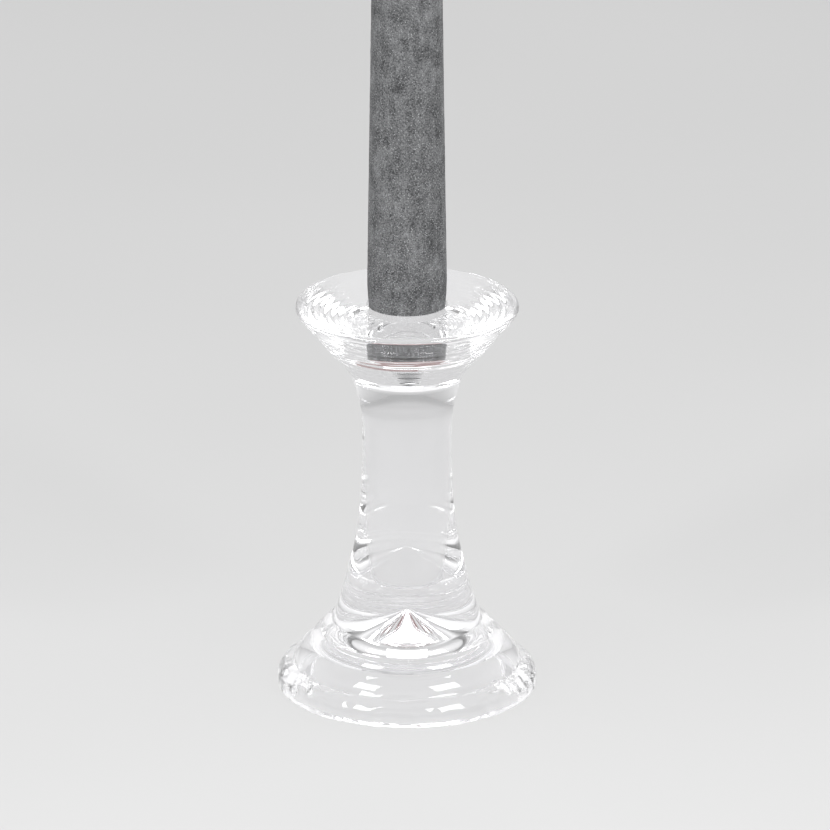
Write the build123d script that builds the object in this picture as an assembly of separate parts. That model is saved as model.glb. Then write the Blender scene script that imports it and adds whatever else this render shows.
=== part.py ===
"""Clear pressed-glass candlestick with a dipped taper candle standing in its socket.

Millimetres, +Z up. The origin is the centre of the foot's contact plane, so the part stands on z = 0.
Every piece is a solid of revolution about Z: each function draws half of an outline in the XZ plane and turns it.
"""
from build123d import *
import math
import os

# ---- Foot: four rounded rings, one above the other, from the table up to the stem ----
FOOT_RADIUS = 36.0            # widest part of the foot
CONTACT_RADII = (30.0, 35.0)  # flat ring that touches the table
EDGE_ROUND_TOP = 0.9          # height of the small round at the table
BRIM_BOTTOM = 2.6             # height at which the brim starts to round inwards
RING_GROOVES = [              # shallow grooves between the rings, lowest first
    (31.7, 7.3),
    (27.2, 12.7),
    (24.1, 16.2),
    (21.0, 19.6),
]
RING_CRESTS = [               # outermost point of each ring, lowest first
    (34.5, 5.85),
    (30.0, 10.5),
    (26.05, 14.8),
    (22.9, 18.2),
]

# ---- Stem and neck ----
STEM_FLARE = [(19.9, 22.0), (18.95, 24.8), (17.1, 31.0), (14.95, 40.0), (13.3, 50.0), (12.64, 60.0)]
WAIST_RADIUS = 12.4           # narrowest part of the stem
WAIST_HEIGHT = 72.0
NECK_FLARE = [(12.65, 80.0), (13.85, 86.0)]
CREASE_RADIUS = 15.5          # sharp edge between the neck and the head
CREASE_HEIGHT = 91.5

# ---- Head ----
HEIGHT = 112.3                # flat top of the head
RIM_RADIUS = 30.9             # widest part of the head
RIM_ROUND = 1.3
HEAD_FLARE = [(18.0, 95.3), (22.0, 99.7), (26.0, 104.5)]

# ---- Candle socket, sunk into the flat top ----
SOCKET_RADIUS = 10.9
SOCKET_DEPTH = 7.8
SOCKET_MOUTH_ROUND = 0.5
SOCKET_FLOOR_ROUND = 0.6

# ---- Hollow under the foot, with a cone pressed up under the stem ----
CONE_TIP_HEIGHT = 22.3
CONE_TIP_SHOULDER = (0.9, 21.9)
CONE_FOOT = (13.2, 14.6)
HOLLOW_CEILING = [(14.2, 14.2), (18.0, 14.0), (21.5, 12.6), (25.0, 9.6), (28.5, 5.2)]
HOLLOW_WALL_TOP = (29.2, 3.0)

# ---- Candle and the soft wax pad under it ----
PAD_RADIUS = 9.9
PAD_THICKNESS = 1.5
SEAT_GAP = 0.2                # between the pad and the candle's lower end
CANDLE_LENGTH = 250.0         # wax only, without the bare wick
CANDLE_RADIUS = 11.05         # thickest part, just above the heel
CANDLE_TAPER = 0.0148         # loss of radius per millimetre of height
HEEL_RADIUS = 10.3            # lower end, pared down to enter the socket
HEEL_CORNER_ROUND = 0.6
HEEL_HEIGHT = 13.0            # height over which the heel grows to full thickness
TIP_LENGTH = 13.0             # height of the rounded point
COAT_THICKNESS = 0.7          # coloured wax around the plain core
WICK_RADIUS = 1.1
WICK_BARE_LENGTH = 9.0

SOCKET_FLOOR = HEIGHT - SOCKET_DEPTH
CANDLE_BOTTOM = SOCKET_FLOOR + PAD_THICKNESS + SEAT_GAP
CANDLE_TOP = CANDLE_BOTTOM + CANDLE_LENGTH
HEEL_TOP = CANDLE_BOTTOM + HEEL_HEIGHT
POINT_BOTTOM = CANDLE_TOP - TIP_LENGTH
POINT_RADIUS = CANDLE_RADIUS - CANDLE_TAPER * (POINT_BOTTOM - HEEL_TOP)


def at(radius, height):
    """A point of a half outline, radius along X and height along Z."""
    return Vector(radius, 0, height)


def turned(*edges):
    """The solid swept by a closed half outline turned once about the Z axis."""
    face = make_face(Wire(list(edges)))
    return revolve(face, Axis.Z, 360)


def on_arc(centre, radius, degrees):
    """The point of a circle at an angle measured from +X towards +Z."""
    turn = math.radians(degrees)
    return at(centre[0] + radius * math.cos(turn), centre[1] + radius * math.sin(turn))


def foot_edges():
    """Outside of the foot, from the contact ring over its four rounded rings."""
    contact_outer = at(CONTACT_RADII[1], 0)
    edge_low = at(FOOT_RADIUS - 0.05, EDGE_ROUND_TOP)
    edge_high = at(FOOT_RADIUS, BRIM_BOTTOM)
    grooves = [edge_high] + [at(*groove) for groove in RING_GROOVES]
    rings = [
        ThreePointArc(low, at(*crest), high)
        for low, crest, high in zip(grooves, RING_CRESTS, grooves[1:])
    ]
    return [
        ThreePointArc(contact_outer, at(FOOT_RADIUS - 0.32, 0.28), edge_low),
        Line(edge_low, edge_high),
        *rings,
    ]


def stem_edges():
    """Outside of the stem and neck, from the uppermost groove of the foot to the crease."""
    waist = at(WAIST_RADIUS, WAIST_HEIGHT)
    stem = Spline(
        at(*RING_GROOVES[-1]), *[at(*point) for point in STEM_FLARE], waist,
        tangents=[(-0.45, 0, 1), (0, 0, 1)],
    )
    neck = Spline(
        waist, *[at(*point) for point in NECK_FLARE], at(CREASE_RADIUS, CREASE_HEIGHT),
        tangents=[(0, 0, 1), (0.32, 0, 1)],
    )
    return [stem, neck]


def head_edges():
    """Flared head, from the crease over the rounded rim to the mouth of the socket."""
    rim_centre = (RIM_RADIUS - RIM_ROUND, HEIGHT - RIM_ROUND)
    under_rim = on_arc(rim_centre, RIM_ROUND, -39)
    rim_top = at(rim_centre[0], HEIGHT)
    return [
        Spline(at(CREASE_RADIUS, CREASE_HEIGHT), *[at(*point) for point in HEAD_FLARE], under_rim),
        ThreePointArc(under_rim, on_arc(rim_centre, RIM_ROUND, 25), rim_top),
        Line(rim_top, at(SOCKET_RADIUS + SOCKET_MOUTH_ROUND, HEIGHT)),
    ]


def socket_edges():
    """Inside of the candle socket, from its rounded mouth to the centre of its floor."""
    mouth_corner = SOCKET_MOUTH_ROUND * (1 - 2 ** -0.5)
    floor_corner = SOCKET_FLOOR_ROUND * (1 - 2 ** -0.5)
    wall_top = at(SOCKET_RADIUS, HEIGHT - SOCKET_MOUTH_ROUND)
    wall_bottom = at(SOCKET_RADIUS, SOCKET_FLOOR + SOCKET_FLOOR_ROUND)
    floor_edge = at(SOCKET_RADIUS - SOCKET_FLOOR_ROUND, SOCKET_FLOOR)
    return [
        ThreePointArc(
            at(SOCKET_RADIUS + SOCKET_MOUTH_ROUND, HEIGHT),
            at(SOCKET_RADIUS + mouth_corner, HEIGHT - mouth_corner),
            wall_top,
        ),
        Line(wall_top, wall_bottom),
        ThreePointArc(
            wall_bottom,
            at(SOCKET_RADIUS - floor_corner, SOCKET_FLOOR + floor_corner),
            floor_edge,
        ),
        Line(floor_edge, at(0, SOCKET_FLOOR)),
    ]


def hollow_edges():
    """Hollow under the foot, from the tip of its cone out to the contact ring."""
    tip = at(0, CONE_TIP_HEIGHT)
    tip_shoulder = at(*CONE_TIP_SHOULDER)
    cone_foot = at(*CONE_FOOT)
    wall_top = at(*HOLLOW_WALL_TOP)
    contact_inner = at(CONTACT_RADII[0], 0)
    return [
        Line(at(0, SOCKET_FLOOR), tip),
        Spline(tip, tip_shoulder, tangents=[(1, 0, 0), (1, 0, -0.6)]),
        Line(tip_shoulder, cone_foot),
        Spline(cone_foot, *[at(*point) for point in HOLLOW_CEILING], wall_top),
        Line(wall_top, contact_inner),
        Line(contact_inner, at(CONTACT_RADII[1], 0)),
    ]


def glass_holder():
    """One pressed piece of clear glass: ringed foot, stem and flared head with its socket."""
    return turned(*foot_edges(), *stem_edges(), *head_edges(), *socket_edges(), *hollow_edges())


def fixing_pad():
    """Soft wax disc pressed on the socket floor, which steadies the candle."""
    bulge = PAD_THICKNESS / 2
    low_edge = at(PAD_RADIUS - bulge, SOCKET_FLOOR)
    high_edge = at(PAD_RADIUS - bulge, SOCKET_FLOOR + PAD_THICKNESS)
    return turned(
        Line(at(0, SOCKET_FLOOR), low_edge),
        ThreePointArc(low_edge, at(PAD_RADIUS, SOCKET_FLOOR + bulge), high_edge),
        Line(high_edge, at(0, SOCKET_FLOOR + PAD_THICKNESS)),
        Line(at(0, SOCKET_FLOOR + PAD_THICKNESS), at(0, SOCKET_FLOOR)),
    )


def wax_side(inset):
    """Side of the candle moved in by inset, from its lower end to the wick at its point."""
    foot_edge = at(HEEL_RADIUS - HEEL_CORNER_ROUND - inset, CANDLE_BOTTOM)
    heel_low = at(HEEL_RADIUS - inset, CANDLE_BOTTOM + HEEL_CORNER_ROUND)
    heel_high = at(CANDLE_RADIUS - inset, HEEL_TOP)
    point_low = at(POINT_RADIUS - inset, POINT_BOTTOM)
    tip = at(WICK_RADIUS, CANDLE_TOP - inset)
    edges = [
        Line(foot_edge, heel_low),
        Spline(heel_low, heel_high, tangents=[(0.03, 0, 1), (-CANDLE_TAPER, 0, 1)]),
        Line(heel_high, point_low),
        Spline(point_low, tip, tangents=[(-CANDLE_TAPER, 0, 1), (-1, 0, 0.35)]),
    ]
    return foot_edge, edges, tip


def candle_core():
    """Plain wax core with the wick's channel through it."""
    foot_edge, side, tip = wax_side(COAT_THICKNESS)
    channel_bottom = at(WICK_RADIUS, CANDLE_BOTTOM)
    return turned(*side, Line(tip, channel_bottom), Line(channel_bottom, foot_edge))


def candle_coat():
    """Coloured wax skin around the core, open at the cut lower end."""
    outer_foot, outer_side, outer_tip = wax_side(0)
    inner_foot, inner_side, inner_tip = wax_side(COAT_THICKNESS)
    return turned(
        *outer_side, Line(outer_tip, inner_tip), *inner_side, Line(inner_foot, outer_foot)
    )


def candle_wick():
    """Cotton wick through the whole candle, with its bare end above the wax."""
    wick_top = CANDLE_TOP + WICK_BARE_LENGTH
    return turned(
        Line(at(0, CANDLE_BOTTOM), at(WICK_RADIUS, CANDLE_BOTTOM)),
        Line(at(WICK_RADIUS, CANDLE_BOTTOM), at(WICK_RADIUS, wick_top)),
        Line(at(WICK_RADIUS, wick_top), at(0, wick_top)),
        Line(at(0, wick_top), at(0, CANDLE_BOTTOM)),
    )


PIECES = {
    "glass_holder": glass_holder,
    "fixing_pad": fixing_pad,
    "candle_core": candle_core,
    "candle_coat": candle_coat,
    "candle_wick": candle_wick,
}

os.makedirs("parts", exist_ok=True)
for name, make in PIECES.items():
    piece = make()
    export_step(piece, f"parts/{name}.step")
    print(name, round(piece.volume), "cubic mm")
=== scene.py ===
# %% [markdown]
# # Glass candlestick with a dipped taper candle
# The object is one pressing of clear glass, with a ringed foot, a waisted stem and a flared head, and a
# taper candle that stands in a shallow socket on a pad of soft fixing wax. Everything is in metres, +Z up,
# and the foot stands on z = 0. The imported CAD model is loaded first, because it says where each piece is
# and what moves: the candle lifts out of the holder. Each finer piece made here rides on one of its bodies.

# %% Load the frame
import math

import bpy
import numpy as np
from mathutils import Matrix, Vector


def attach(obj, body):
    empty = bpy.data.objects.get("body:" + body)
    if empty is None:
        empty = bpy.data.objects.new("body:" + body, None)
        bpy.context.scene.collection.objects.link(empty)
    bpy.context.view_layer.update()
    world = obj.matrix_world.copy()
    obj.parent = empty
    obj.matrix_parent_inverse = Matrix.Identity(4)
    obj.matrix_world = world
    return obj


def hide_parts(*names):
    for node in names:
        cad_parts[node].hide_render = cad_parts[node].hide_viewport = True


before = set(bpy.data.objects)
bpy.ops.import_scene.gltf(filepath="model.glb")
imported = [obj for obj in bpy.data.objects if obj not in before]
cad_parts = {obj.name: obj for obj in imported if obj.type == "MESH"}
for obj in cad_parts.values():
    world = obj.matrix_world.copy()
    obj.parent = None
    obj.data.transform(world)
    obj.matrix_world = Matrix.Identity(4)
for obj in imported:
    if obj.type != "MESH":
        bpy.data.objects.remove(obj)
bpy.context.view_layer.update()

# %% [markdown]
# ## Curves and turned surfaces
# Every piece is round, so each one is a profile in the (radius, height) plane carried once round the axis.
# A lathe or Screw modifier could do that, but working the grid out as arrays leaves every vertex free to
# be pushed in or out a little, which is what makes poured glass and dipped wax look real.

# %% Curves of a profile
MM = 0.001


def straight(start, end, count):
    """Points on the straight line from start to end: start + (end - start) * t, for t from 0 to 1."""
    t = np.linspace(0, 1, count)[:, None]
    return np.array(start, float) * (1 - t) + np.array(end, float) * t


def bow(start, crest, end, count):
    """Points on the circle through three points, from start over crest to end.
    The centre is where the perpendicular bisectors of the two chords meet."""
    a, b, c = (np.array(p, float) for p in (start, crest, end))
    sides = 2 * np.array([b - a, c - a])
    centre = np.linalg.solve(sides, [b @ b - a @ a, c @ c - a @ a])
    angle = [math.atan2(p[1] - centre[1], p[0] - centre[0]) for p in (a, b, c)]
    way = np.sign((b - a)[0] * (c - a)[1] - (b - a)[1] * (c - a)[0])
    sweep = (way * (angle[2] - angle[0])) % (2 * math.pi)
    t = angle[0] + way * sweep * np.linspace(0, 1, count)
    return centre + np.linalg.norm(a - centre) * np.stack([np.cos(t), np.sin(t)], 1)


def flowing(points, count):
    """A smooth curve through the points: cubics over the chord length whose slope and bend match at each
    point. The second derivatives come from one set of linear equations, with no bend at the two ends."""
    p = np.array(points, float)
    chord = np.linalg.norm(np.diff(p, axis=0), axis=1)
    n = len(p)
    system, right = np.eye(n), np.zeros((n, 2))
    for k in range(1, n - 1):
        system[k, k - 1:k + 2] = chord[k - 1], 2 * (chord[k - 1] + chord[k]), chord[k]
        right[k] = 6 * ((p[k + 1] - p[k]) / chord[k] - (p[k] - p[k - 1]) / chord[k - 1])
    bend = np.linalg.solve(system, right)
    knots = np.concatenate([[0], np.cumsum(chord)])
    s = np.linspace(0, knots[-1], count)
    k = np.clip(np.searchsorted(knots, s, side="right") - 1, 0, n - 2)
    h, u = chord[k][:, None], (s - knots[k])[:, None]
    v = h - u
    return ((bend[k] * v**3 + bend[k + 1] * u**3) / (6 * h)
            + (p[k] / h - bend[k] * h / 6) * v + (p[k + 1] / h - bend[k + 1] * h / 6) * u)


def joined(*runs):
    """One profile from runs that share their end points, each shared point kept once."""
    points = np.concatenate(runs)
    apart = np.linalg.norm(np.diff(points, axis=0), axis=1) > 1e-6
    return points[np.concatenate([[True], apart])]


# %% [markdown]
# Real surfaces are never exact, so an uneven field is needed too. It is a sum of cosine waves of random
# direction and length, drawn from a seeded generator, so every run gives the same numbers. The grid helpers
# follow: turn a profile, find which way the surface faces, and make a mesh that rides on one of the bodies.

# %% Waves and turned meshes
def waves(place, seed, shortest, longest, count=40):
    """An uneven field, mostly between -1 and 1, at each place: the sum of many cosine waves with random
    directions, phases and lengths between shortest and longest, over the root of twice their number."""
    draw = np.random.default_rng(seed)
    way = draw.normal(size=(count, 3))
    way *= (2 * math.pi / draw.uniform(shortest, longest, count) / np.linalg.norm(way, axis=1))[:, None]
    phase = draw.uniform(0, 2 * math.pi, count)
    field = np.zeros(place.shape[:-1])
    for k in range(count):
        field += np.cos(place @ way[k] + phase[k])
    return field / math.sqrt(2 * count)


def around(profile, steps):
    """The turned grid: point (i, j) is profile point i at angle 2 pi j / steps round the Z axis."""
    angle = np.linspace(0, 2 * math.pi, steps, endpoint=False)
    r, z = profile[:, 0, None], profile[:, 1, None]
    return np.stack([r * np.cos(angle), r * np.sin(angle), z + 0 * angle], -1)


def outward(grid, looped=False):
    """The unit normal at each grid point: the cross product of the step round the axis and the step
    along the profile."""
    turn = np.roll(grid, -1, 1) - np.roll(grid, 1, 1)
    along = np.roll(grid, -1, 0) - np.roll(grid, 1, 0)
    if not looped:
        along[0], along[-1] = grid[1] - grid[0], grid[-1] - grid[-2]
    normal = np.cross(turn, along)
    return normal / np.maximum(np.linalg.norm(normal, axis=-1, keepdims=True), 1e-12)


def piece(name, grid, body, nodes, looped=False):
    """A mesh from a grid given in millimetres. A row that has shrunk to one point becomes a single pole
    vertex with a fan of triangles, and a looped profile joins its last row to its first."""
    rows, steps = grid.shape[:2]
    first = 0 if looped else 1
    last = rows if looped else rows - 1
    ring = grid[first:last].reshape(-1, 3)
    i = np.arange(last - first - (0 if looped else 1))[:, None]
    j = np.arange(steps)[None, :]
    up = (i + 1) % (last - first)
    right = (j + 1) % steps
    quads = np.stack([i * steps + j, i * steps + right, up * steps + right, up * steps + j], -1)
    verts, faces = ring, quads.reshape(-1, 4).tolist()
    if not looped:
        low, high = len(ring), len(ring) + 1
        verts = np.concatenate([ring, grid[0, :1], grid[-1, :1]])
        j, right = j[0], right[0]
        top = (last - first - 1) * steps
        faces += np.stack([np.full(steps, low), right, j], -1).tolist()
        faces += np.stack([np.full(steps, high), top + j, top + right], -1).tolist()
    mesh = bpy.data.meshes.new(name)
    mesh.from_pydata((verts * MM).tolist(), [], faces)
    mesh.polygons.foreach_set("use_smooth", np.ones(len(mesh.polygons), bool))
    mesh.update()
    made = bpy.data.objects.new(name, mesh)
    bpy.context.scene.collection.objects.link(made)
    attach(made, body)
    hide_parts(*nodes)
    print(name, len(verts), "vertices,", sum(len(f) - 2 for f in faces), "triangles")
    return made


# %% [markdown]
# ## The glass
# The holder is one piece of pressed glass. A plunger makes the hollow under the foot with its small cone,
# the mould makes the four rings of the foot, and the head is opened out while it is still soft. Solid glass
# bends light at both its skins, so what is seen in it depends on the exact profile, inside and out, more
# than on any texture. The profile therefore follows the CAD outline point by point, from the tip of the
# cone, over the foot, stem and rim, down into the socket.

# %% Profile of the glass
HEIGHT = 112.3
FOOT_RADIUS = 36.0
SOCKET_RADIUS, SOCKET_FLOOR = 10.9, 104.5

hollow = joined(
    flowing([(0, 22.3), (0.45, 22.17), (0.9, 21.9)], 6),
    straight((0.9, 21.9), (13.2, 14.6), 16),
    flowing([(13.2, 14.6), (14.2, 14.2), (18.0, 14.0), (21.5, 12.6), (25.0, 9.6), (28.5, 5.2),
             (29.2, 3.0)], 36),
    straight((29.2, 3.0), (30.0, 0), 7),
    straight((30.0, 0), (35.0, 0), 10),
)
rings = joined(
    bow((35.0, 0), (35.68, 0.28), (35.95, 0.9), 6),
    straight((35.95, 0.9), (FOOT_RADIUS, 2.6), 4),
    bow((FOOT_RADIUS, 2.6), (34.5, 5.85), (31.7, 7.3), 20),
    bow((31.7, 7.3), (30.0, 10.5), (27.2, 12.7), 18),
    bow((27.2, 12.7), (26.05, 14.8), (24.1, 16.2), 14),
    bow((24.1, 16.2), (22.9, 18.2), (21.0, 19.6), 12),
)
stem = flowing([(21.0, 19.6), (19.9, 22.0), (18.95, 24.8), (17.1, 31.0), (14.95, 40.0), (13.3, 50.0),
                (12.64, 60.0), (12.4, 72.0), (12.65, 80.0), (13.85, 86.0), (15.5, 91.5)], 70)
head = joined(
    flowing([(15.5, 91.5), (18.0, 95.3), (22.0, 99.7), (26.0, 104.5), (30.61, 110.18)], 84),
    bow((30.61, 110.18), (30.78, 111.55), (29.6, HEIGHT), 10),
    straight((29.6, HEIGHT), (11.4, HEIGHT), 20),
)
socket = joined(
    bow((11.4, HEIGHT), (11.046, 112.154), (SOCKET_RADIUS, 111.8), 5),
    straight((SOCKET_RADIUS, 111.8), (SOCKET_RADIUS, 105.1), 10),
    bow((SOCKET_RADIUS, 105.1), (10.724, 104.676), (10.3, SOCKET_FLOOR), 5),
    straight((10.3, SOCKET_FLOOR), (0, SOCKET_FLOOR), 12),
)
glass_profile = joined(hollow, rings, stem, head, socket)
print("glass profile:", len(glass_profile), "points")

# %% [markdown]
# Pressed glass is never quite true. The mould leaves fine rings on the outside of the head, the hot skin
# sags into slow waves as it is fire polished, and the edge the foot stands on is a little rough. All are a
# tenth of a millimetre deep at most, too small to see in the outline, but they break every highlight and
# refraction. They are added along the surface normal: rings that follow height, waves that follow place.

# %% Skin of the glass
def band(value, start, end, soft):
    """1 between start and end, falling smoothly to 0 over soft outside them."""
    ramp = np.clip(np.minimum(value - start, end - value) / soft + 1, 0, 1)
    return ramp * ramp * (3 - 2 * ramp)


GLASS_STEPS = 256
CLOSE_DEPTH, CLOSE_RING = 0.03, 2.1
WIDE_DEPTH, WIDE_RING = 0.02, 3.4
SLOW_DEPTH, ROUGH_DEPTH = 0.05, 0.1
FADE = 1.5
HEAD_LOW, HEAD_HIGH, SOCKET_SIDE = 94.0, 109.5, 81.5
EDGE_START, EDGE_END, EDGE_TOP = 30.0, 36.5, 8.0
TRUE_TOP = HEIGHT - 0.8


def glass_skin(grid):
    """Each point moved along its normal by three things. Mould rings on the outside of the head: two
    cosines of a height that drifts up and down a little round the turn. Slow waves nearly everywhere: an
    uneven field of place that fades out towards the axis. A rougher field on the outer edge of the foot.
    A point of the head is outside the socket where its radius is more than its height less 81.5. The flat
    top and the rim stay true, and no point may pass the foot's radius or sink below the table."""
    r = np.linalg.norm(grid[..., :2], axis=-1)
    z = grid[..., 2]
    outside = outward(grid)
    flare = band(z, HEAD_LOW, HEAD_HIGH, FADE) * (r > z - SOCKET_SIDE)
    turn = np.arctan2(grid[..., 1], grid[..., 0])
    climb = z + 0.25 * np.sin(turn + 0.6) + 0.12 * np.sin(3 * turn)
    ringed = (CLOSE_DEPTH * np.cos(2 * math.pi * climb / CLOSE_RING)
              + WIDE_DEPTH * np.cos(2 * math.pi * climb / WIDE_RING + 1.0))
    slow = SLOW_DEPTH * waves(grid, 3, 14, 30)
    edge = band(r, EDGE_START, EDGE_END, FADE) * (z < EDGE_TOP)
    rough = ROUGH_DEPTH * waves(grid, 4, 2.4, 6)
    away = 0.02 + np.clip(r / 8, 0, 1)
    move = (flare * ringed + away * slow + edge * rough) * (z < TRUE_TOP)
    moved = grid + outside * move[..., None]
    inside = np.minimum(1, FOOT_RADIUS / np.maximum(np.linalg.norm(moved[..., :2], axis=-1), 1))
    moved[..., :2] *= inside[..., None]
    return np.clip(moved, [-np.inf, -np.inf, 0], np.inf)


glass = piece("pressed_glass", glass_skin(around(glass_profile, GLASS_STEPS)), "holder",
              ["glass_holder"])
SHARP = math.radians(32)
glass.data.set_sharp_from_angle(angle=SHARP)

# %% [markdown]
# ## The candle
# A rustic taper is dipped or cast in wax that crystallises as it cools, so its skin is a little lumpy and
# pitted. The coat is one closed surface: out over the lower edge, up the side, round the point and back
# down the inside, against the plain core. Its lumps are waves of two sizes, moved along the normal.

# %% Candle coat
CANDLE_BOTTOM = 106.2
CANDLE_TOP = 356.2
HEEL_TOP = CANDLE_BOTTOM + 13.0
POINT = CANDLE_TOP - 13.0
WIDEST = 11.05
TAPER = 0.0148
WICK = 1.1
COAT_STEPS = 216
TRUE_ROWS = 24
point_radius = WIDEST - TAPER * (POINT - HEEL_TOP)

coat_profile = joined(
    straight((9.6, CANDLE_BOTTOM), (9.7, CANDLE_BOTTOM), 3),
    bow((9.7, CANDLE_BOTTOM), (10.14, 106.36), (10.3, 106.8), 5),
    flowing([(10.3, 106.8), (10.55, 111.0), (10.95, 116.0), (WIDEST, HEEL_TOP)], 22),
    straight((WIDEST, HEEL_TOP), (point_radius, POINT), 300),
    flowing([(point_radius, POINT), (6.9, 348.2), (4.2, 353.6), (WICK, CANDLE_TOP)], 24),
    straight((WICK, CANDLE_TOP), (WICK, CANDLE_TOP - 0.7), 2),
    straight((WICK, CANDLE_TOP - 0.7), (6.0, 347.0), 4),
    straight((6.0, 347.0), (point_radius - 0.9, POINT), 3),
    straight((point_radius - 0.9, POINT), (10.1, HEEL_TOP), 12),
    straight((10.1, HEEL_TOP), (9.6, CANDLE_BOTTOM), 4),
)[:-1]


def wax_skin(grid):
    """Each outer point moved inwards along its normal, by at most 0.2 mm, by slow lumps and short pits.
    The last rows of the profile, which are the rim round the wick and the inside, and the seat in the
    socket stay true."""
    outer = (np.arange(len(grid)) < len(grid) - TRUE_ROWS)[:, None]
    depth = 0.05 + 0.035 * waves(grid, 7, 6, 14) + 0.03 * waves(grid, 8, 1.6, 3.2)
    free = band(grid[..., 2], 109.0, CANDLE_TOP - 1.0, 2.0)
    return grid - outward(grid, looped=True) * (np.clip(depth, 0, 0.2) * free * outer)[..., None]


coat = piece("coat_skin", wax_skin(around(coat_profile, COAT_STEPS)), "candle", ["candle_coat"],
             looped=True)

# %% [markdown]
# ## Wick and pad
# The wick is braided cotton. Its three strands show as lobes that turn round the axis as they climb, so
# one turned surface with a lobed, twisting section is enough, with close rows only where it leaves the wax.

# %% Wick
WICK_STEPS = 48
STRANDS, LAY = 3, 7.0


def braided(profile, steps):
    """Turned grid whose radius swells with the cosine of the strands times the angle, less a twist that
    makes one whole cosine every lay of 7 mm, and with a weaker cosine that twists the other way."""
    grid = around(profile, steps)
    angle = np.arctan2(grid[..., 1], grid[..., 0])
    twist = 2 * math.pi * grid[..., 2] / LAY
    lobes = 0.86 + 0.09 * np.cos(STRANDS * angle - twist) + 0.05 * np.cos(STRANDS * angle + twist)
    return grid * np.stack([lobes, lobes, np.ones_like(lobes)], -1)


wick_top = CANDLE_TOP + 9.0
wick_profile = joined(
    straight((0, CANDLE_BOTTOM), (WICK, CANDLE_BOTTOM), 3),
    straight((WICK, CANDLE_BOTTOM), (WICK, CANDLE_TOP - 4.0), 20),
    straight((WICK, CANDLE_TOP - 4.0), (WICK * 0.92, wick_top - 0.4), 90),
    bow((WICK * 0.92, wick_top - 0.4), (WICK * 0.8, wick_top - 0.1), (WICK * 0.5, wick_top), 4),
    straight((WICK * 0.5, wick_top), (0, wick_top), 3),
)
wick = piece("braided_wick", braided(wick_profile, WICK_STEPS), "candle", ["candle_wick"])

# %% [markdown]
# The pad is a pinch of soft wax pressed flat by the candle. It is a thin disc with a rounded edge, made a
# little uneven in two ways: it is drawn in by a field that is the same at every height, and its top is
# dimpled by a second, finer one.

# %% Fixing pad
PAD_STEPS = 120
PAD_TOP, PAD_FLAT = 106.0, 9.1
DIMPLED_FROM = 105.3
DRAWN_IN, DIMPLE = 0.02, 0.06
pad_profile = joined(
    straight((0, SOCKET_FLOOR), (PAD_FLAT, SOCKET_FLOOR), 14),
    bow((PAD_FLAT, SOCKET_FLOOR), (9.85, 105.25), (PAD_FLAT, PAD_TOP), 12),
    straight((PAD_FLAT, PAD_TOP), (0, PAD_TOP), 20),
)
pad_grid = around(pad_profile, PAD_STEPS)
flat = np.array([1, 1, 0])
spread = (1 - DRAWN_IN * (1 + waves(pad_grid * flat, 11, 6, 16)))[..., None] * flat
dimples = DIMPLE * (waves(pad_grid, 12, 3, 7) - 1) * (pad_grid[..., 2] > DIMPLED_FROM)
pad_grid = pad_grid * (spread + [0, 0, 1]) + dimples[..., None] * [0, 0, 1]
pad = piece("pressed_pad", pad_grid, "holder", ["fixing_pad"])

# %% [markdown]
# ## Materials
# Small helpers first: one adds a node and fills or links its inputs, one starts a material, and one puts
# a material on the pieces it belongs to.

# %% Node helpers
def add(tree, kind, settings=None, **inputs):
    """Adds a node and fills its inputs. A socket is linked, anything else is set as the value. A key names
    the input, with underscores read as spaces, and n0, n6 and so on mean the input of that number."""
    node = tree.nodes.new(kind)
    for key, value in (settings or {}).items():
        setattr(node, key, value)
    for key, value in inputs.items():
        numbered = key[0] == "n" and key[1:].isdigit()
        target = node.inputs[int(key[1:]) if numbered else key.replace("_", " ")]
        if isinstance(value, bpy.types.NodeSocket):
            tree.links.new(value, target)
        else:
            target.default_value = value
    return node


def start_material(name):
    """A new material and its Principled BSDF."""
    material = bpy.data.materials.new(name)
    material.use_nodes = True
    return material, material.node_tree, material.node_tree.nodes["Principled BSDF"]


def paint(material, *objects):
    """Puts one material on each object, in place of any it has."""
    for thing in objects:
        thing.data.materials.clear()
        thing.data.materials.append(material)


# %% [markdown]
# Clear glass is a Principled BSDF with full transmission and the refractive index of soda glass, 1.52.
# Light that reaches the table through solid glass needs caustics, which are slow and noisy. So the rays
# that only gather light for a dull surface, shadow and diffuse rays, pass straight through a nearly clear
# transparent shader instead, and the table under the foot is lit almost as brightly as the open table.

# %% Clear glass
SODA_GLASS_INDEX = 1.52
glass_material, tree, shader = start_material("clear pressed glass")
shader.inputs["Base Color"].default_value = (0.98, 0.979, 0.99, 1)
shader.inputs["Roughness"].default_value = 0.0
shader.inputs["IOR"].default_value = SODA_GLASS_INDEX
shader.inputs["Transmission Weight"].default_value = 1.0
ray = add(tree, "ShaderNodeLightPath")
lit = add(tree, "ShaderNodeMath", {"operation": "MAXIMUM"}, n0=ray.outputs["Is Shadow Ray"],
          n1=ray.outputs["Is Diffuse Ray"])
clear = add(tree, "ShaderNodeBsdfTransparent", Color=(0.98, 0.98, 0.98, 1))
either = add(tree, "ShaderNodeMixShader", n0=lit.outputs[0], n1=shader.outputs[0], n2=clear.outputs[0])
tree.links.new(either.outputs[0], tree.nodes["Material Output"].inputs["Surface"])
paint(glass_material, glass)
print("clear glass: refractive index", SODA_GLASS_INDEX)

# %% [markdown]
# Wax that cools fast turns into a mass of tiny crystals. Close up it is mottled: soft dark and light
# clouds, faint streaks down the length where wax ran, and fine pale specks where a crystal catches the
# light. Coat, core and pad are all wax, so the effect is one node group, used with different colours.

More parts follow.
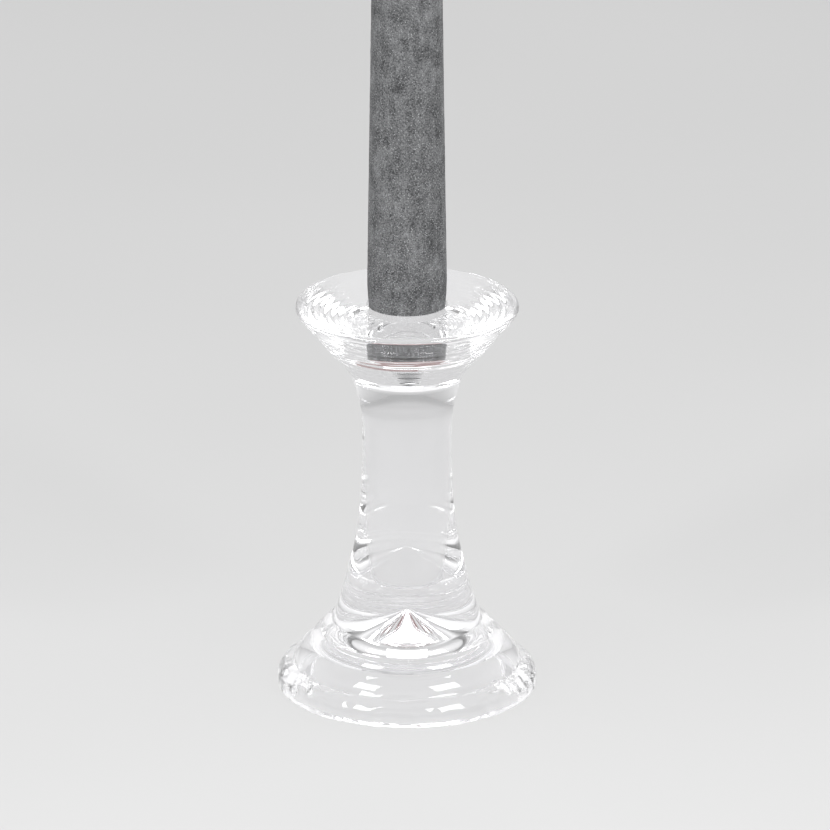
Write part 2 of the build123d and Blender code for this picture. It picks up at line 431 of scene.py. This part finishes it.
# %% Wax grain group
def wax_group():
    """The node group. Tone is a mix of clouds, streaks and fine grain, stretched to run from the deep
    colour to the pale one. A speck is the middle of a random cell, shown in the share of cells that
    Specks gives. Roughness and height follow the same mix, and the specks add to the height."""
    group = bpy.data.node_groups.new("wax grain", "ShaderNodeTree")
    face = group.interface
    face.new_socket("Place", in_out="INPUT", socket_type="NodeSocketVector")
    for title in ("Deep", "Pale", "Speck"):
        face.new_socket(title, in_out="INPUT", socket_type="NodeSocketColor")
    face.new_socket("Specks", in_out="INPUT", socket_type="NodeSocketFloat")
    face.new_socket("Colour", in_out="OUTPUT", socket_type="NodeSocketColor")
    for title in ("Roughness", "Height"):
        face.new_socket(title, in_out="OUTPUT", socket_type="NodeSocketFloat")
    give = group.nodes.new("NodeGroupInput").outputs
    take = group.nodes.new("NodeGroupOutput").inputs
    long = add(group, "ShaderNodeMapping", Vector=give["Place"], Scale=(1, 1, 0.22))
    clouds = add(group, "ShaderNodeTexNoise", Vector=give["Place"], Scale=190.0, Detail=3.0)
    streaks = add(group, "ShaderNodeTexNoise", Vector=long.outputs[0], Scale=520.0, Detail=2.0)
    grain = add(group, "ShaderNodeTexNoise", Vector=give["Place"], Scale=2300.0, Detail=2.0,
                Roughness=0.7)
    coarse = add(group, "ShaderNodeMix", n0=0.4, n2=clouds.outputs[0], n3=streaks.outputs[0])
    mixed = add(group, "ShaderNodeMix", n0=0.6, n2=coarse.outputs[0], n3=grain.outputs[0])
    tone = add(group, "ShaderNodeMapRange", Value=mixed.outputs[0], From_Min=0.4, From_Max=0.63)
    body = add(group, "ShaderNodeMix", {"data_type": "RGBA"}, n0=tone.outputs[0], n6=give["Deep"],
               n7=give["Pale"])
    cells = add(group, "ShaderNodeTexVoronoi", Vector=give["Place"], Scale=2600.0)
    pick = add(group, "ShaderNodeSeparateColor", Color=cells.outputs["Color"])
    near = add(group, "ShaderNodeMapRange", Value=cells.outputs["Distance"], From_Min=0.42, From_Max=0.16)
    chosen = add(group, "ShaderNodeMath", {"operation": "LESS_THAN"}, n0=pick.outputs[0],
                 n1=give["Specks"])
    speck = add(group, "ShaderNodeMath", {"operation": "MULTIPLY"}, n0=near.outputs[0],
                n1=chosen.outputs[0])
    colour = add(group, "ShaderNodeMix", {"data_type": "RGBA"}, n0=speck.outputs[0], n6=body.outputs[2],
                 n7=give["Speck"])
    rough = add(group, "ShaderNodeMapRange", Value=mixed.outputs[0], To_Min=0.62, To_Max=0.88)
    height = add(group, "ShaderNodeMath", {"operation": "MULTIPLY_ADD"}, n0=speck.outputs[0], n1=0.6,
                 n2=mixed.outputs[0])
    group.links.new(colour.outputs[2], take["Colour"])
    group.links.new(rough.outputs[0], take["Roughness"])
    group.links.new(height.outputs[0], take["Height"])
    return group


wax_grain = wax_group()
print("wax grain:", len(wax_grain.nodes), "nodes")

# %% [markdown]
# Each wax finish places the group and gives it three colours. On the candle the specks are thick low down
# and thinner higher up, so the share of specks falls with height. The height is read from Object
# coordinates, which move with the candle when it is lifted, so the pattern stays where it is on the wax.

# %% Wax finishes
SPECK_RISE = 90.0


def wax_material(name, deep, pale, speck, specks, relief):
    """A wax finish: the grain group feeds colour, roughness and a bump of the given height in metres.
    The two numbers in specks are their shares at the bottom of the candle and 90 mm higher."""
    material, tree, shader = start_material(name)
    place = add(tree, "ShaderNodeTexCoord").outputs["Object"]
    height = add(tree, "ShaderNodeSeparateXYZ", Vector=place).outputs["Z"]
    share = add(tree, "ShaderNodeMapRange", Value=height, From_Min=CANDLE_BOTTOM * MM,
                From_Max=(CANDLE_BOTTOM + SPECK_RISE) * MM, To_Min=specks[0], To_Max=specks[1])
    grain = add(tree, "ShaderNodeGroup", {"node_tree": wax_grain}, Place=place, Deep=(*deep, 1),
                Pale=(*pale, 1), Speck=(*speck, 1), Specks=share.outputs[0])
    bump = add(tree, "ShaderNodeBump", Height=grain.outputs["Height"], Distance=relief)
    tree.links.new(grain.outputs["Colour"], shader.inputs["Base Color"])
    tree.links.new(grain.outputs["Roughness"], shader.inputs["Roughness"])
    tree.links.new(bump.outputs[0], shader.inputs["Normal"])
    return material


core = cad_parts["candle_core"]
for title, deep, pale, speck, specks, relief, thing in (
        ("grey dipped wax", (0.03, 0.031, 0.033), (0.25, 0.254, 0.26), (0.6, 0.61, 0.62), (0.3, 0.12),
         0.0002, coat),
        ("plain core wax", (0.3, 0.3, 0.29), (0.45, 0.45, 0.43), (0.7, 0.7, 0.68), (0.1, 0.1),
         0.0001, core),
        ("soft fixing wax", (0.45, 0.3, 0.3), (0.68, 0.5, 0.5), (0.8, 0.68, 0.66), (0.05, 0.05),
         0.0002, pad)):
    paint(wax_material(title, deep, pale, speck, specks, relief), thing)
    print(title, "on", thing.name)

# %% [markdown]
# The wick is bleached cotton soaked in wax: cream and dull, with painted shade in the hollows between its
# fibres.

# %% Wick cotton
cotton, tree, shader = start_material("waxed cotton")
place = add(tree, "ShaderNodeTexCoord").outputs["Object"]
fibre = add(tree, "ShaderNodeTexNoise", Vector=place, Scale=3200.0, Detail=2.0)
# Painted shade: the colour darkens where the fibre noise is low, which is where the bump makes hollows.
cotton_with_painted_shade = add(tree, "ShaderNodeMix", {"data_type": "RGBA"}, n0=fibre.outputs[0], n6=(0.5, 0.46, 0.38, 1),
           n7=(0.88, 0.85, 0.78, 1))
weave = add(tree, "ShaderNodeBump", Height=fibre.outputs[0], Distance=0.0001)
tree.links.new(cotton_with_painted_shade.outputs[2], shader.inputs["Base Color"])
tree.links.new(weave.outputs[0], shader.inputs["Normal"])
shader.inputs["Roughness"].default_value = 0.85
shader.inputs["Sheen Weight"].default_value = 0.3
paint(cotton, wick)
print("waxed cotton on", wick.name)

# %% [markdown]
# ## Floor, light and camera
# A wide pale floor fills the whole background. It is so wide that its far edge is never in view, and it
# lies a tenth of a millimetre below the foot, so that the two flat faces don't fight for the same place.

# %% Floor
REACH = 40.0
FLOOR_GAP = 0.0001
floor_mesh = bpy.data.meshes.new("floor")
floor_mesh.from_pydata([(-REACH, -REACH, -FLOOR_GAP), (REACH, -REACH, -FLOOR_GAP),
                        (REACH, REACH, -FLOOR_GAP), (-REACH, REACH, -FLOOR_GAP)], [], [(0, 1, 2, 3)])
floor = bpy.data.objects.new("floor", floor_mesh)
bpy.context.scene.collection.objects.link(floor)
floor_material, tree, shader = start_material("pale floor")
place = add(tree, "ShaderNodeTexCoord").outputs["Object"]
cloudy = add(tree, "ShaderNodeTexNoise", Vector=place, Scale=5.0, Detail=1.0)
pale = add(tree, "ShaderNodeMix", {"data_type": "RGBA"}, n0=cloudy.outputs[0], n6=(0.56, 0.56, 0.56, 1),
           n7=(0.6, 0.6, 0.6, 1))
tree.links.new(pale.outputs[2], shader.inputs["Base Color"])
shader.inputs["Roughness"].default_value = 0.9
shader.inputs["Specular IOR Level"].default_value = 0.1
paint(floor_material, floor)
print("floor:", 2 * REACH, "m across")

# %% [markdown]
# Glass shows its surroundings and nothing else, so the light is what draws it. Two softboxes in front, left
# and right, make the paired window highlights, and a third lamp above the floor behind the object keeps
# the far floor as pale as the near floor.

# %% Lights
def panel(name, azimuth, elevation, distance, width, height, power, aim=(0, 0, 0.06)):
    """A softbox that faces the aim: place = aim + distance * the direction given by the two angles in
    degrees. Azimuth 0 is the front and 90 the right, and the usual aim is half way up the glass."""
    turn, rise = math.radians(azimuth), math.radians(elevation)
    aim = Vector(aim)
    back = Vector((math.sin(turn) * math.cos(rise), -math.cos(turn) * math.cos(rise), math.sin(rise)))
    lamp = bpy.data.lights.new(name, "AREA")
    lamp.shape, lamp.size, lamp.size_y, lamp.energy = "RECTANGLE", width, height, power
    holder = bpy.data.objects.new(name, lamp)
    holder.location = aim + back * distance
    holder.rotation_euler = (-back).to_track_quat("-Z", "Y").to_euler()
    bpy.context.scene.collection.objects.link(holder)
    print(name, power, "W at", [round(value, 3) for value in holder.location])


panel("left softbox", -47, 38, 1.2, 0.46, 0.45, 6.2)
panel("right softbox", 45, 38, 1.2, 0.56, 0.45, 6.8)
panel("backdrop light", 180, 60, 1.6, 0.8, 0.8, 5.0, aim=(0, 0.75, 0))

# %% [markdown]
# The room is a studio with white walls. Low down it is as bright as the floor, so that no hard horizon
# shows inside the glass, and the ceiling is dimmer than the walls. The side in front of the object is
# dark, and that gives the clear glass its grey lines. The brightness is a product of three ramps: the rise
# from the horizon to the walls, the fall from the walls to the ceiling, and the shade of the dark front.

# %% Room
room = bpy.data.worlds.new("white_studio")
bpy.context.scene.world = room
room.use_nodes = True
tree = room.node_tree
way = add(tree, "ShaderNodeSeparateXYZ", Vector=add(tree, "ShaderNodeTexCoord").outputs["Generated"])
rise = add(tree, "ShaderNodeMapRange", Value=way.outputs["Z"], From_Min=0.0, From_Max=0.3, To_Min=0.5,
           To_Max=1.08)
ceiling = add(tree, "ShaderNodeMapRange", {"interpolation_type": "SMOOTHSTEP"}, Value=way.outputs["Z"],
              From_Min=0.45, From_Max=0.7, To_Min=1.0, To_Max=0.62)
upright = add(tree, "ShaderNodeMath", {"operation": "MULTIPLY"}, n0=rise.outputs[0], n1=ceiling.outputs[0])
front = add(tree, "ShaderNodeMath", {"operation": "MULTIPLY"}, n0=way.outputs["Y"], n1=-1.0)
facing = add(tree, "ShaderNodeMapRange", {"interpolation_type": "SMOOTHSTEP"}, Value=front.outputs[0],
             From_Min=-0.2, From_Max=0.4)
low = add(tree, "ShaderNodeMapRange", {"interpolation_type": "SMOOTHSTEP"}, Value=way.outputs["Z"],
          From_Min=0.5, From_Max=0.25)
dark = add(tree, "ShaderNodeMath", {"operation": "MULTIPLY"}, n0=facing.outputs[0], n1=low.outputs[0])
shade = add(tree, "ShaderNodeMapRange", Value=dark.outputs[0], To_Min=1.0, To_Max=0.3)
level = add(tree, "ShaderNodeMath", {"operation": "MULTIPLY"}, n0=upright.outputs[0], n1=shade.outputs[0])
backdrop = tree.nodes["Background"]
backdrop.inputs["Color"].default_value = (1, 1, 1, 1)
tree.links.new(level.outputs[0], backdrop.inputs["Strength"])
print("room:", len(tree.nodes), "nodes")

# %% [markdown]
# The camera is far away behind a long lens, a little above the object and looking down, so the foot and
# the head show as flat ellipses of nearly the same scale. The focal length is the sensor width times the
# distance over the width of the view there. A ray that enters the glass can be turned back many times
# before it leaves, and each turn back is counted as a glossy bounce, so the bounce limits are raised.

# %% Camera
ELEVATION = math.radians(20.25)
DISTANCE = 4.264
AIM = Vector((0.0022, 0, 0.0792))
VIEW_WIDTH = 0.2297
BOUNCES = 40
lens = bpy.data.cameras.new("camera")
camera = bpy.data.objects.new("camera", lens)
bpy.context.scene.collection.objects.link(camera)
towards_camera = Vector((0, -math.cos(ELEVATION), math.sin(ELEVATION)))
camera.location = AIM + towards_camera * DISTANCE
camera.rotation_euler = (-towards_camera).to_track_quat("-Z", "Y").to_euler()
lens.sensor_width = 36
lens.lens = lens.sensor_width * DISTANCE / VIEW_WIDTH
lens.clip_start, lens.clip_end = 0.05, 200
scene = bpy.context.scene
scene.camera = camera
scene.view_settings.view_transform = "Standard"
scene.cycles.use_denoising = True
scene.cycles.max_bounces = BOUNCES
scene.cycles.transmission_bounces = BOUNCES
scene.cycles.glossy_bounces = BOUNCES
scene.cycles.transparent_max_bounces = 16
print("lens:", round(lens.lens, 1), "mm")
